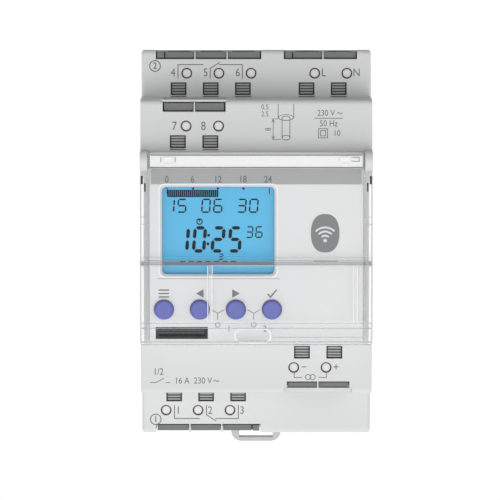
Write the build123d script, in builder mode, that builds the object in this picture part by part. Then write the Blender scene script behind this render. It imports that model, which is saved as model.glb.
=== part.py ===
"""A DIN rail timer, three modules wide, with a stepped case and a hinged clear cover.

X runs to the right, Y into the wall and Z up. The origin is the middle of the rail seat, so the rail's
flanges lie on the plane y = 0 and the case stands out to negative y. All sizes are in millimetres.
"""

import os

from build123d import *

os.makedirs("parts", exist_ok=True)

# Case
WIDTH = 53.5
HEIGHT = 90.0
TIER_EDGE = 34.1  # half the height of the inner tiers
NOSE_EDGE = 22.5  # half the height of the nose
BACK = 5.0
PARTING = -14.0  # where the rear and front housings meet
OUTER_FRONT = -34.0
INNER_FRONT = -46.0
TIER_RISE = 1.0  # how far each tier's face curves forward towards the next step
PANEL_DEPTH = 4.0
COVER_STAND = 4.0  # how far the cover's face stands in front of the panel
WALL = 1.5
GAP = 0.3
SLIP = 0.1
EDGE_ROUND = 0.7
BRIM_ROUND = 1.2  # along the front edge of each tier
BACK_ROUND = 0.6
SEAM = 0.25  # the chamfer on each side of the parting line
COVER_ROUND = 0.4
DRAFT = 0.055  # how fast the top and bottom faces fall away behind the front edge
TONGUE = 2.0  # the rear housing's rim that fits inside the front housing
TONGUE_WALL = 1.0
CATCH_Z = 25  # the snap catches' height above and below the middle
CATCH_HALF = 2.8
CATCH = (-1.9, -0.8)  # the catches' two ends, measured from the parting line
CATCH_SET = 0.2  # how far the catches stop below the case's side
POST_RADIUS = 2.0
POST_X = 20
POST_INSET = 6

# Rail channel and latch
RAIL_HALF = 17.5
FLANGE = 1.0
FLANGE_GRIP = 1.5  # how far each hook reaches behind its flange
SEAT_HALF = 15.3
FLOOR = -1.8
LATCH_WIDTH = 12.0
LATCH_LIP = 1.5
LATCH_THICKNESS = 3.4
LATCH_LIP_THICKNESS = 1.4
LATCH_FOOT = 6.8  # how far the foot hangs below the case
LATCH_SLOT = 8.2
SPRING_RADIUS = 1.35
SPRING_WIRE = 0.4
SPRING_TOP = -24.0
SPRING_BOTTOM = -36.0
POST = 2.0
POST_HALF = 1.5
FOOT_ROUND = 2.5
FOOT_SLOT = 2.5

# Terminals
PITCH = 7.5
KEY_MARGIN = 5.3  # from the first opener's middle to the notch's keyed end
END_MARGIN = 4.25  # from the last opener's middle to the notch's other end
SIDE_MARGIN = 3.5  # both of these on the rows with no key
EDGE_TO_OPENER = 8.65  # from the case's left side to the first opener's middle
LAST_TO_EDGE = 7.5  # from the last opener's middle to the case's right side
OPENER_WIDTH = 3.45
OPENER_HEIGHT = 2.75
OPENER_DROP = 9.0  # from the tier's reference edge down to the opener's middle
STEP_DROP = 10.9  # from the reference edge down to the foot of the next step
INNER_DROP = 0.65  # the inner tiers' reference edge lies this far inside their step
NOTCH_HEIGHT = 2.1
RIB = 0.34  # the case's rib between two terminals
RIB_SHIFT = 0.12  # the ribs stand this much nearer to the keyed end
COLLAR = 2.45  # how far the notch's front part reaches behind the tier's face
FRAME = (0.6, 0.9)  # the shallow recess round the inner rows' notches: how wide and how deep
STEP_SLOT = 0.18  # a drain slot below each opener, at the foot of the next step
NOTCH_DEPTH = 9.5
TEST_DROP = 5.4
TEST_SHIFT = 1.9
TEST_RADIUS = 1.25
STUD_RADIUS = 1.1
INSERT_DEPTH = 15.0
INSERT_DROP = 13.0
WIRE_RADIUS = 1.5
WIRE_SLOPE = 0.577  # run towards the wall for each millimetre of drop
WIRE_SHIFT = 0.1
MOUTH = (6.0, 4.9)  # the funnel at its mouth, across and deep
MOUTH_DEPTH = 4.95  # the mouth's middle, behind the tier's face
THROAT = (2.6, 3.0)
THROAT_DROP = 5.2
FUNNEL_ROUND = 0.6
CHAMBER_HALF = 2.6
CHAMBER = (6.6, 14.1)  # the clamp chamber's two depths, behind the tier's face
CHAMBER_DROP = (6.4, 12.2)
SHOULDER = 0.3  # how far the opener's shoulders stand out at each side
OPENER_REACH = 6.1
GROOVES = (0.6, 1.25, 1.9)  # the grooves' heights on an opener's head
GROOVE = 0.3
HEAD = 1.2
BAR = 0.7
STRIP = 0.36  # the clamp spring's strip
STRIP_WIDTH = 3.6
KEY_WIDTH = 1.55
PLUG_SET = 0.7  # how far each plug's face lies behind the tier's
PLUG_DROP = 0.5  # how far the plugs stop below the case's top

# Nose
AXIS_Z = 20.4
PIN_RADIUS = 1.0
PIN_SLIP = 0.05
EAR_WIDTH = 1.75
EAR_RADIUS = 2.6
COVER_WALL = 1.2
LCD_X = (-21.7, 4.15)
LCD_Z = (-5.85, 14.35)
BUTTON_FIRST = -21.3
BUTTON_PITCH = 8.3
BUTTON_Z = -14.0
BUTTON_RADIUS = 2.2
CARD_X = (-23.2, -11.2)
CARD_Z = (-20.95, -18.1)
BOARD = 1.0

# Inside
MAIN_BOARD_FRONT = -14.2
MAIN_BOARD = 1.6
RELAY = (12.7, 15.6, 29.0)
BATTERY_RADIUS = 7.2
BATTERY_LENGTH = 25.0

HALF_WIDTH = WIDTH / 2
HALF_HEIGHT = HEIGHT / 2
BRIM_EDGE = HALF_HEIGHT + BRIM_ROUND * DRAFT  # the sharp corner that the brim's rounding replaces
REAR_EDGE = HALF_HEIGHT - (PARTING - OUTER_FRONT) * DRAFT
BACK_EDGE = HALF_HEIGHT - (BACK - OUTER_FRONT) * DRAFT
NOSE_SEAT = INNER_FRONT - TIER_RISE
PANEL_FRONT = NOSE_SEAT - PANEL_DEPTH
COVER_FRONT = PANEL_FRONT - COVER_STAND
AXIS_Y = PANEL_FRONT  # the cover's pins lie level with the panel's face
PANEL_HALF = HALF_WIDTH - EAR_WIDTH - 0.4
PANEL_EDGE = NOSE_EDGE - GAP
PANEL_WALL = 1.4
PANEL_SIDE = 0.9
PANEL_BACK = PANEL_FRONT + PANEL_WALL
LATCH_HALF = LATCH_WIDTH / 2
HOOK = RAIL_HALF - FLANGE_GRIP
CHANNEL_END = RAIL_HALF + 0.2
DISPLAY_BOARD_BACK = INNER_FRONT + WALL


def block(x, y, z, mode=Mode.ADD):
    """Add or cut a box that runs between the two ends given for each axis."""
    ends = (x, y, z)
    with Locations(tuple((low + high) / 2 for low, high in ends)):
        Box(*(high - low for low, high in ends), mode=mode)


def rod(x, z, radius, y, mode=Mode.ADD):
    """Add or cut a round rod that runs along Y between two depths."""
    with Locations(Plane(origin=(x, y[0], z), z_dir=(0, 1, 0))):
        Cylinder(radius, y[1] - y[0], align=(Align.CENTER, Align.CENTER, Align.MIN), mode=mode)


def shaft(y, z, radius, x, mode=Mode.ADD):
    """Add or cut a round rod that runs along X between two sides."""
    with Locations(Plane(origin=(x[0], y, z), z_dir=(1, 0, 0))):
        Cylinder(radius, x[1] - x[0], align=(Align.CENTER, Align.CENTER, Align.MIN), mode=mode)


def prism(points, x, mode=Mode.ADD):
    """Add or cut a bar along X whose outline is a list of (y, z) points."""
    with BuildSketch(Plane.YZ.offset(x[0]), mode=Mode.PRIVATE) as outline:
        with BuildLine():
            Polyline(*points, close=True)
        make_face()
    extrude(outline.sketch, amount=x[1] - x[0], mode=mode)


def window(x, z, radius, y, mode=Mode.ADD):
    """Add or cut a plate with rounded corners that lies across Y."""
    with BuildSketch(Plane.XZ.offset(-y[0]), mode=Mode.PRIVATE) as outline:
        with Locations(((x[0] + x[1]) / 2, (z[0] + z[1]) / 2)):
            RectangleRounded(x[1] - x[0], z[1] - z[0], radius)
    extrude(outline.sketch, amount=-(y[1] - y[0]), mode=mode)


def keep(piece, name):
    """Label a finished piece and write it out."""
    piece.label = name
    export_step(piece, f"parts/{name}.step")


class Terminals:
    """A row of terminals in the upper half; the turned rows are placed half a turn about Y."""

    def __init__(self, name, front, edge, top, lip, first, count, turned):
        self.name = name
        self.front = front
        self.edge = edge
        self.top = top
        self.lip = lip
        self.keyed = lip == 0
        self.openers = [first + number * PITCH for number in range(count)]
        self.turned = turned
        self.left = self.openers[0] - (KEY_MARGIN if self.keyed else SIDE_MARGIN)
        self.right = self.openers[-1] + (END_MARGIN if self.keyed else SIDE_MARGIN)
        self.notch_top = top - lip

    def cells(self):
        """The two ends of each terminal's opening in the notch."""
        starts = [x - PITCH / 2 + (RIB + RIB_SHIFT) / 2 for x in self.openers]
        ends = [x + PITCH / 2 - (RIB - RIB_SHIFT) / 2 for x in self.openers]
        starts[0] = self.left
        ends[-1] = self.right
        return list(zip(starts, ends))

    def place(self, piece):
        """Turn a piece made in the upper half to where its row lies."""
        return Rot(0, 180, 0) * piece if self.turned else piece


INNER_EDGE = TIER_EDGE - INNER_DROP
LEFT = -HALF_WIDTH + EDGE_TO_OPENER
RIGHT = HALF_WIDTH - LAST_TO_EDGE
ROWS = [
    Terminals("top_left", OUTER_FRONT, HALF_HEIGHT, HALF_HEIGHT, 0, LEFT, 3, False),
    Terminals("top_right", OUTER_FRONT, HALF_HEIGHT, HALF_HEIGHT, 0, RIGHT - PITCH, 2, False),
    Terminals("upper_inner", INNER_FRONT, INNER_EDGE, TIER_EDGE, 0.5, LEFT, 2, False),
    Terminals("bottom", OUTER_FRONT, HALF_HEIGHT, HALF_HEIGHT, 0, RIGHT - 2 * PITCH, 3, True),
    Terminals("lower_inner", INNER_FRONT, INNER_EDGE, TIER_EDGE, 1.2, LEFT, 2, True),
]


# Rear housing: a tray with the rail channel across its back
with BuildPart() as base_housing:
    outline = [(PARTING, -REAR_EDGE), (PARTING, REAR_EDGE), (BACK, BACK_EDGE), (BACK, -BACK_EDGE)]
    prism(outline, (-HALF_WIDTH, HALF_WIDTH))
    corners = base_housing.edges().filter_by(lambda edge: abs(edge.center().X) > 1)
    corners = corners.filter_by(lambda edge: abs(edge.center().Z) > 1)
    fillet(corners, EDGE_ROUND)
    fillet(base_housing.faces().sort_by(Axis.Y)[-1].edges(), BACK_ROUND)
    chamfer(base_housing.faces().sort_by(Axis.Y)[0].edges(), SEAM)
    inside = HALF_WIDTH - WALL
    inside_height = REAR_EDGE - WALL
    pocket_height = BACK_EDGE - WALL
    block((-inside, inside), (PARTING, FLOOR), (-pocket_height, pocket_height), Mode.SUBTRACT)
    top_pocket = (CHANNEL_END + WALL, pocket_height)
    block((-inside, inside), (FLOOR, BACK - WALL), top_pocket, Mode.SUBTRACT)
    # The channel: a raised seat for the rail, a fixed hook above and an open side below
    past = HALF_WIDTH + 1
    block((-past, past), (0, BACK + 1), (-CHANNEL_END, HOOK), Mode.SUBTRACT)
    for low, high in ((SEAT_HALF, CHANNEL_END), (-CHANNEL_END, -SEAT_HALF)):
        block((-past, past), (-GAP, FLANGE + GAP), (low, high), Mode.SUBTRACT)
    # The latch's T-shaped channel, with a post for its spring
    lip_back = FLANGE + 0.4 + LATCH_LIP_THICKNESS
    channel_half = LATCH_HALF + LATCH_LIP + SLIP
    tall = (-HALF_HEIGHT - 1, -CHANNEL_END)
    block((-channel_half, channel_half), (FLANGE + GAP, lip_back + SLIP), tall, Mode.SUBTRACT)
    neck_half = LATCH_HALF + SLIP
    block((-neck_half, neck_half), (lip_back, BACK + 1), tall, Mode.SUBTRACT)
    block((-POST_HALF, POST_HALF), (FLANGE, BACK - 0.5), (SPRING_BOTTOM - POST, SPRING_BOTTOM))
    # The tongue that locates the front housing
    with BuildSketch(Plane.XZ.offset(-PARTING)):
        Rectangle(2 * (inside - GAP / 3), 2 * (inside_height - GAP / 3))
        Rectangle(2 * (inside - TONGUE_WALL), 2 * (inside_height - TONGUE_WALL), mode=Mode.SUBTRACT)
    extrude(amount=TONGUE)
    with BuildSketch(Plane.XZ.offset(-PARTING - 2)):
        Rectangle(2 * (inside + 0.2), 2 * (inside_height + 0.2))
        Rectangle(2 * (inside - TONGUE_WALL), 2 * (inside_height - TONGUE_WALL), mode=Mode.SUBTRACT)
    extrude(amount=2)
    # Posts under the main board
    for x in (-POST_X, POST_X):
        for z in (-HALF_HEIGHT + POST_INSET, HALF_HEIGHT - POST_INSET):
            rod(x, z, POST_RADIUS, (MAIN_BOARD_FRONT + MAIN_BOARD, BACK - WALL))
    # Snap catches on the side rims
    for side in (-1, 1):
        for z in (-CATCH_Z, CATCH_Z):
            ends = sorted((side * (inside - 0.2), side * (HALF_WIDTH - CATCH_SET)))
            block(ends, (PARTING + CATCH[0], PARTING + CATCH[1]), (z - CATCH_HALF, z + CATCH_HALF))
keep(base_housing.part, "base_housing")


# Front housing: a stepped shell, hollow all through, with a window and a notch for each terminal
with BuildPart() as front_housing:
    with BuildSketch(Plane.YZ.offset(-HALF_WIDTH)) as profile:
        with BuildLine():
            Line((PARTING, 0), (PARTING, REAR_EDGE))
            Line((PARTING, REAR_EDGE), (OUTER_FRONT, BRIM_EDGE))
            middle = (OUTER_FRONT - TIER_RISE / 4, (HALF_HEIGHT + TIER_EDGE) / 2)
            ThreePointArc((OUTER_FRONT, BRIM_EDGE), middle, (OUTER_FRONT - TIER_RISE, TIER_EDGE))
            Line((OUTER_FRONT - TIER_RISE, TIER_EDGE), (INNER_FRONT, TIER_EDGE))
            middle = (INNER_FRONT - TIER_RISE / 4, (TIER_EDGE + NOSE_EDGE) / 2)
            ThreePointArc((INNER_FRONT, TIER_EDGE), middle, (NOSE_SEAT, NOSE_EDGE))
            Line((NOSE_SEAT, NOSE_EDGE), (NOSE_SEAT, 0))
            Line((NOSE_SEAT, 0), (PARTING, 0))
        make_face()
        # Each tier's front edge is rounded
        brims = profile.vertices().filter_by(lambda corner: corner.Y in (BRIM_EDGE, TIER_EDGE))
        brims = brims.filter_by(lambda corner: corner.X in (OUTER_FRONT, INNER_FRONT))
        fillet(brims, BRIM_ROUND)
    extrude(amount=WIDTH)
    mirror(about=Plane.XY)
    corners = front_housing.edges().filter_by(lambda edge: abs(edge.center().Z) > TIER_EDGE + 3)
    corners = corners.filter_by(lambda edge: abs(edge.center().X) > 1 and edge.length > 15)
    fillet(corners, EDGE_ROUND)
    chamfer(front_housing.faces().sort_by(Axis.Y)[-1].edges(), SEAM)
    # The hollow follows the steps and the draft
    inside = HALF_WIDTH - WALL
    reach = HALF_HEIGHT - WALL - 0.1
    rear_reach = REAR_EDGE - WALL
    near = OUTER_FRONT + WALL
    hollow = [(near, -reach), (near, reach), (PARTING, rear_reach), (PARTING, -rear_reach)]
    prism(hollow, (-inside, inside), Mode.SUBTRACT)
    reach = TIER_EDGE - WALL
    block((-inside, inside), (INNER_FRONT + WALL, PARTING), (-reach, reach), Mode.SUBTRACT)
    opening = PANEL_HALF - PANEL_WALL
    block((-opening, opening), (NOSE_SEAT - 1, INNER_FRONT + WALL), (-19.9, 19.9), Mode.SUBTRACT)
    # Windows that take the rear housing's snap catches
    for side in (-1, 1):
        for z in (-CATCH_Z, CATCH_Z):
            ends = sorted((side * (inside - 0.5), side * (HALF_WIDTH + 1)))
            across = (PARTING + CATCH[0] - SLIP, PARTING + CATCH[1] + SLIP)
            block(ends, across, (z - CATCH_HALF - SLIP, z + CATCH_HALF + SLIP), Mode.SUBTRACT)
    # The ears that carry the cover
    for side in (-1, 1):
        ends = sorted((side * (HALF_WIDTH - EAR_WIDTH), side * HALF_WIDTH))
        shaft(AXIS_Y, AXIS_Z, EAR_RADIUS, ends)
        block(ends, (AXIS_Y, NOSE_SEAT), (18.0, AXIS_Z + EAR_RADIUS))
        block(ends, (NOSE_SEAT - EAR_RADIUS - 5, NOSE_SEAT), (NOSE_EDGE, NOSE_EDGE + 3), Mode.SUBTRACT)
        bore = sorted((side * (HALF_WIDTH - EAR_WIDTH - 0.1), side * (HALF_WIDTH - 0.5)))
        shaft(AXIS_Y, AXIS_Z, PIN_RADIUS + PIN_SLIP, bore, Mode.SUBTRACT)
front_body = front_housing.part
for row in ROWS:
    with BuildPart() as cuts:
        notch_start = -2.0 if row.keyed else COLLAR - 0.05
        front = row.front
        edge = row.edge
        above = row.top + 1
        for cell in row.cells():
            tall = (edge - NOTCH_HEIGHT, above if row.keyed else row.notch_top)
            block(cell, (front - 2, front + COLLAR), tall)
            block(cell, (front + notch_start, front + NOTCH_DEPTH), (edge - 2, above))
        block((row.left, row.right), (front + 7.4, front + NOTCH_DEPTH), (edge - 2, above))
        if not row.keyed:
            across = (row.left - FRAME[0], row.right + FRAME[0])
            block(across, (front - 2, front + FRAME[1]), (row.notch_top, above))
        for x in row.openers:
            half = OPENER_WIDTH / 2 + SLIP
            low = edge - OPENER_DROP - OPENER_HEIGHT / 2 - SLIP
            block((x - half, x + half), (front - 2, front + WALL + 1), (low, low + OPENER_HEIGHT + 2 * SLIP))
            foot = edge - STEP_DROP
            block((x - half, x + half), (front - 2, front + WALL + 1), (foot, foot + STEP_SLOT))
            rod(x + TEST_SHIFT, edge - TEST_DROP, TEST_RADIUS, (front - 2, front + WALL + 0.05))
    front_body = front_body - row.place(cuts.part)
keep(front_body, "front_housing")


# Terminal rows: an insert with funnels, contact bars, clamp springs and the openers
for row in ROWS:
    front = row.front
    edge = row.edge
    insert_left = row.left + GAP
    insert_right = row.right - GAP
    plug_top = row.top - PLUG_DROP if row.keyed else row.notch_top - GAP
    plug_back = front + NOTCH_DEPTH - GAP
    behind = front + WALL + GAP
    with BuildPart() as insert:
        block((insert_left, insert_right), (behind, front + INSERT_DEPTH), (edge - INSERT_DROP, edge - 2.9))
        block((insert_left, insert_right), (behind, plug_back), (edge - 3, edge - 2.2))
        # A plug fills each opening of the notch, with a ridge behind them all
        for start, end in row.cells():
            start = max(start + SLIP, insert_left)
            end = min(end - SLIP, insert_right)
            block((start, end), (behind, plug_back), (edge - 2.3, plug_top))
            block((start, end), (front + PLUG_SET, behind + 0.1), (edge - NOTCH_HEIGHT + GAP, plug_top))
        block((insert_left, insert_right), (front + 7.7, plug_back), (edge - 2.3, row.top - PLUG_DROP))
        if row.keyed:
            key = (insert_left, insert_left + KEY_WIDTH)
            block(key, (front + SLIP, front + 2), (edge - NOTCH_HEIGHT + GAP, plug_top))
            groove = (insert_left + KEY_WIDTH, insert_left + KEY_WIDTH + GAP)
            block(groove, (front - 1, front + 2), (edge - NOTCH_HEIGHT, edge + 1), Mode.SUBTRACT)
        for x in row.openers:
            middle = x + WIRE_SHIFT
            # The funnel narrows from the mouth to the wire's bore
            throat = front + MOUTH_DEPTH + (THROAT_DROP - 1.8) * WIRE_SLOPE
            with BuildSketch(Plane.XY.offset(row.top + 0.1), mode=Mode.PRIVATE) as mouth:
                with Locations((middle, front + MOUTH_DEPTH)):
                    RectangleRounded(*MOUTH, FUNNEL_ROUND)
            with BuildSketch(Plane.XY.offset(edge - THROAT_DROP), mode=Mode.PRIVATE) as neck:
                with Locations((middle, throat)):
                    RectangleRounded(*THROAT, FUNNEL_ROUND)
            loft([mouth.sketch, neck.sketch], mode=Mode.SUBTRACT)
            wire_axis = Plane(origin=(middle, throat, edge - THROAT_DROP), z_dir=(0, WIRE_SLOPE, -1))
            with Locations(wire_axis):
                Cylinder(WIRE_RADIUS, 4, mode=Mode.SUBTRACT)
            # The chamber that holds the clamp
            chamber = (edge - CHAMBER_DROP[1], edge - CHAMBER_DROP[0])
            depths = (front + CHAMBER[0], front + CHAMBER[1])
            block((x - CHAMBER_HALF, x + CHAMBER_HALF), depths, chamber, Mode.SUBTRACT)
            # The opener's guide, wider where its shoulders run
            half = OPENER_WIDTH / 2 + SLIP
            low = edge - OPENER_DROP - OPENER_HEIGHT / 2 - SLIP
            tall = (low, low + OPENER_HEIGHT + 2 * SLIP)
            block((x - half, x + half), (front, front + 7), tall, Mode.SUBTRACT)
            block((x - half - SHOULDER, x + half + SHOULDER), (front, front + 4.7), tall, Mode.SUBTRACT)
            # Slots for the contact bar and its test stud
            arm = (x + 2.35, x + 3.15)
            block(arm, (front + 3.0, front + 3.8), (edge - 12.2, edge - 4.5), Mode.SUBTRACT)
            block(arm, (front + 3.0, front + 7.5), (edge - 12.2, edge - 11.3), Mode.SUBTRACT)
            tail = (front + 13, front + INSERT_DEPTH + 1)
            block((x - 0.9, x + 0.9), tail, (edge - 12.2, edge - 11.3), Mode.SUBTRACT)
            rod(x + TEST_SHIFT, edge - TEST_DROP, STUD_RADIUS + SLIP, (front, front + 3.8), Mode.SUBTRACT)
    keep(row.place(insert.part), f"insert_{row.name}")

    bars = []
    springs = []
    for number, x in enumerate(row.openers, start=1):
        with BuildPart() as bar:
            plate = (edge - 11.4 - BAR, edge - 11.4)
            block((x - 2.4, x + 2.4), (front + 6.8, front + 13.9), plate)
            block((x - 0.8, x + 0.8), (front + 13, MAIN_BOARD_FRONT + MAIN_BOARD + 0.6), plate)
            block((x + 2.0, x + 3.05), (front + 6.8, front + 7.4), plate)
            block((x + 2.45, x + 3.05), (front + 3.1, front + 7.4), plate)
            block((x + 2.45, x + 3.05), (front + 3.1, front + 3.7), (edge - 12.1, edge - 4.6))
            across = (x + TEST_SHIFT, x + 3.05)
            block(across, (front + 3.1, front + 3.7), (edge - TEST_DROP - 0.8, edge - 4.6))
            rod(x + TEST_SHIFT, edge - TEST_DROP, STUD_RADIUS, (front + SLIP, front + 3.3))
            dome = bar.faces().sort_by(Axis.Y)[0].edges()
            fillet(dome, 0.4)
        bars.append(row.place(bar.part))

        # One bent strip: a leg along the back wall, the bow, and the leg that clamps the wire
        with BuildPart() as spring:
            with BuildSketch(Plane.YZ.offset(x - STRIP_WIDTH / 2)):
                with BuildLine():
                    back_leg = Line((front + 13.8, edge - 11.1), (front + 13.8, edge - 8.3))
                    bow = TangentArc(back_leg @ 1, (front + 11.6, edge - 6.9), tangent=back_leg % 1)
                    Line(bow @ 1, (front + 8.0, edge - 11.1))
                trace(line_width=STRIP)
            extrude(amount=STRIP_WIDTH)
        springs.append(row.place(spring.part))

        with BuildPart() as opener:
            half = OPENER_WIDTH / 2
            low = edge - OPENER_DROP - OPENER_HEIGHT / 2
            high = low + OPENER_HEIGHT
            # The tip slants with the wire
            outline = [
                (front, low),
                (front, high),
                (front + OPENER_REACH, high),
                (front + OPENER_REACH + OPENER_HEIGHT * WIRE_SLOPE, low),
            ]
            prism(outline, (x - half, x + half))
            block((x - half - SHOULDER, x + half + SHOULDER), (front + 1.9, front + 2.9), (low, high))
            # The head stands clear of its window all round, and is ribbed so that a screwdriver doesn't slip
            inset = GAP - SLIP
            for start, end in ((x - half, x - half + inset), (x + half - inset, x + half)):
                block((start, end), (front - 1, front + HEAD), (low - 1, high + 1), Mode.SUBTRACT)
            for start, end in ((low, low + inset), (high - inset, high)):
                block((x - half, x + half), (front - 1, front + HEAD), (start, end), Mode.SUBTRACT)
            for groove in GROOVES:
                ends = (low + groove, low + groove + GROOVE)
                block((x - half, x + half), (front - 1, front + 0.4), ends, Mode.SUBTRACT)
        keep(row.place(opener.part), f"opener_{row.name}_{number}")
    keep(Compound(children=bars), f"contacts_{row.name}")
    keep(Compound(children=springs), f"clamp_springs_{row.name}")


# Front panel: the opaque cap of the nose, under the cover
with BuildPart() as front_panel:
    outline = [
        (NOSE_SEAT, -PANEL_EDGE),
        (PANEL_FRONT + 1.4, -PANEL_EDGE),
        (PANEL_FRONT, -16.5),
        (PANEL_FRONT, 14.9),
        (PANEL_FRONT + 1.6, 18.5),
        (PANEL_FRONT + 2.6, 18.7),
        (PANEL_FRONT + 2.6, PANEL_EDGE),
        (NOSE_SEAT, PANEL_EDGE),
    ]
    prism(outline, (-PANEL_HALF, PANEL_HALF))
    fillet(front_panel.edges().filter_by(Axis.Y), 0.6)
    hollow = PANEL_HALF - PANEL_SIDE
    block((-hollow, hollow), (PANEL_BACK, NOSE_SEAT), (-19.9, 17.0), Mode.SUBTRACT)
    front_face = PANEL_FRONT - 1
    window(LCD_X, LCD_Z, 1.0, (front_face, PANEL_BACK), Mode.SUBTRACT)
    rim = front_panel.edges().filter_by_position(Axis.Y, PANEL_FRONT - 0.01, PANEL_FRONT + 0.01)
    rim = rim.filter_by_position(Axis.X, LCD_X[0] - 0.1, LCD_X[1] + 0.1)
    rim = rim.filter_by_position(Axis.Z, LCD_Z[0] - 0.1, LCD_Z[1] + 0.1)
    chamfer(rim, 0.5)
    for number in range(4):
        x = BUTTON_FIRST + number * BUTTON_PITCH
        rod(x, BUTTON_Z, BUTTON_RADIUS + SLIP, (front_face, PANEL_BACK), Mode.SUBTRACT)
    block(CARD_X, (front_face, NOSE_SEAT + 1), CARD_Z, Mode.SUBTRACT)
keep(front_panel.part, "front_panel")


# Cover: a clear tray that wraps the nose and swings on two pins
with BuildPart() as front_cover:
    upper = COVER_FRONT + 1.0
    outer = [
        (NOSE_SEAT - 0.4, 22.3),
        (upper, 22.3),
        (upper, -2.4),
        (COVER_FRONT, -3.3),
        (COVER_FRONT, -17.5),
        (COVER_FRONT + 2.6, -22.3),
        (NOSE_SEAT - 0.4, -22.3),
    ]
    prism(outer, (-HALF_WIDTH, HALF_WIDTH))
    fillet(front_cover.edges().filter_by(Axis.Y).group_by(Axis.Z)[0], 0.8)
    # The sides' long front edges are softened
    for side in (-HALF_WIDTH, HALF_WIDTH):
        brims = front_cover.edges().filter_by_position(Axis.X, side - 0.01, side + 0.01)
        brims = brims.filter_by(Axis.Z).filter_by(lambda edge: edge.center().Y < COVER_FRONT + 1.5)
        fillet(brims, COVER_ROUND)
    # The hollow behind the front wall
    inner = [
        (NOSE_SEAT, 18.7),
        (upper + COVER_WALL, 18.7),
        (upper + COVER_WALL, -2.9),
        (COVER_FRONT + COVER_WALL, -3.8),
        (COVER_FRONT + COVER_WALL, -17.1),
        (COVER_FRONT + COVER_WALL + 2.9, -23.0),
        (NOSE_SEAT, -23.0),
    ]
    hollow = PANEL_HALF + 0.35
    prism(inner, (-hollow, hollow), Mode.SUBTRACT)
    # The hinge bar between the ears, rounded about the axis
    back = [(AXIS_Y, 18.2), (NOSE_SEAT, 18.2), (NOSE_SEAT, 23), (AXIS_Y, 23)]
    prism(back, (-hollow, hollow), Mode.SUBTRACT)
    shaft(AXIS_Y, AXIS_Z, 2.0, (-hollow, hollow))
    # Clearance round the ears
    for side in (-1, 1):
        ends = sorted((side * (HALF_WIDTH - EAR_WIDTH - 0.3), side * (HALF_WIDTH + 1)))
        shaft(AXIS_Y, AXIS_Z, EAR_RADIUS + 0.4, ends, Mode.SUBTRACT)
        block(ends, (COVER_FRONT - 1, NOSE_SEAT), (17.3, 23), Mode.SUBTRACT)
        pin = sorted((side * (HALF_WIDTH - EAR_WIDTH - 1), side * (HALF_WIDTH - 0.7)))
        shaft(AXIS_Y, AXIS_Z, PIN_RADIUS, pin)
        # A small outward groove that snaps over the panel's side
        dimple = sorted((side * (HALF_WIDTH - 0.35), side * (HALF_WIDTH + 1)))
        block(dimple, (COVER_FRONT, NOSE_SEAT - 1.5), (6.0, 7.6), Mode.SUBTRACT)
    # The raised pad, and the thumb scoop in the lip
    block((-10.6, 22.7), (COVER_FRONT - 0.25, COVER_FRONT + 0.2), (-16.5, -3.4))
    scoop = Plane(origin=(-0.8, COVER_FRONT + 1.3, -19.9), x_dir=(1, 0, 0), z_dir=(0, -4.8, -2.6))
    with BuildSketch(scoop) as thumb:
        SlotOverall(8.4, 3.6)
    extrude(amount=-0.5, mode=Mode.SUBTRACT)
keep(front_cover.part, "front_cover")


# Latch: a T-shaped slider with a hook at the top and a slotted foot
with BuildPart() as rail_latch:
    near = FLANGE + 0.4
    top = -HOOK - 0.3
    foot = -HALF_HEIGHT - LATCH_FOOT
    block((-LATCH_HALF, LATCH_HALF), (near, near + LATCH_THICKNESS), (foot, top))
    fillet(rail_latch.edges().filter_by(Axis.Y).group_by(Axis.Z)[0], FOOT_ROUND)
    lip_half = LATCH_HALF + LATCH_LIP
    block((-lip_half, lip_half), (near, near + LATCH_LIP_THICKNESS), (-BACK_EDGE + 0.5, -CHANNEL_END - 0.5))
    spring_bay = (SPRING_BOTTOM - POST - GAP, SPRING_TOP)
    block((-2.1, 2.1), (near - 1, BACK), spring_bay, Mode.SUBTRACT)
    slot_low = foot + 0.9
    tall = (slot_low, slot_low + FOOT_SLOT)
    block((-LATCH_SLOT / 2, LATCH_SLOT / 2), (near - 1, BACK), tall, Mode.SUBTRACT)
    ramp = rail_latch.edges().filter_by(Axis.X).group_by(Axis.Z)[-1].sort_by(Axis.Y)[-1]
    chamfer(ramp, 1.2)
keep(rail_latch.part, "rail_latch")

with BuildPart() as rail_latch_spring:
    turns = 9
    length = SPRING_TOP - SPRING_BOTTOM - SPRING_WIRE - SLIP
    start = SPRING_BOTTOM + SLIP / 2 + SPRING_WIRE / 2
    with BuildLine():
        coil = Helix(pitch=length / turns, height=length, radius=SPRING_RADIUS, center=(0, 3.1, start))
    with BuildSketch(Plane(origin=coil @ 0, z_dir=coil % 0)):
        Circle(SPRING_WIRE / 2)
    sweep(path=coil, is_frenet=True)
keep(rail_latch_spring.part, "rail_latch_spring")


# Display: the clear lens, the glass cell, its light guide and its contact strip
with BuildPart() as lcd_lens:
    pane = ((LCD_X[0] + SLIP, LCD_X[1] - SLIP), (LCD_Z[0] + SLIP, LCD_Z[1] - SLIP))
    window(*pane, 1.0 - SLIP, (PANEL_FRONT + 0.5, PANEL_BACK + 0.2))
    flange = (PANEL_BACK + 0.05, PANEL_BACK + 0.7)
    block((LCD_X[0] - 1, LCD_X[1] + 1), flange, (LCD_Z[0] - 1, LCD_Z[1] + 1))
keep(lcd_lens.part, "lcd_lens")

glass_back = PANEL_BACK + 2.4
with BuildPart() as lcd_glass:
    across = (LCD_X[0] - 1.2, LCD_X[1] + 1.2)
    block(across, (PANEL_BACK + 0.8, PANEL_BACK + 1.6), (LCD_Z[0] - 1, LCD_Z[1] + 1))
    block(across, (PANEL_BACK + 1.6, glass_back), (LCD_Z[0] - 3, LCD_Z[1] + 1))
keep(lcd_glass.part, "lcd_glass")

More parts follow.
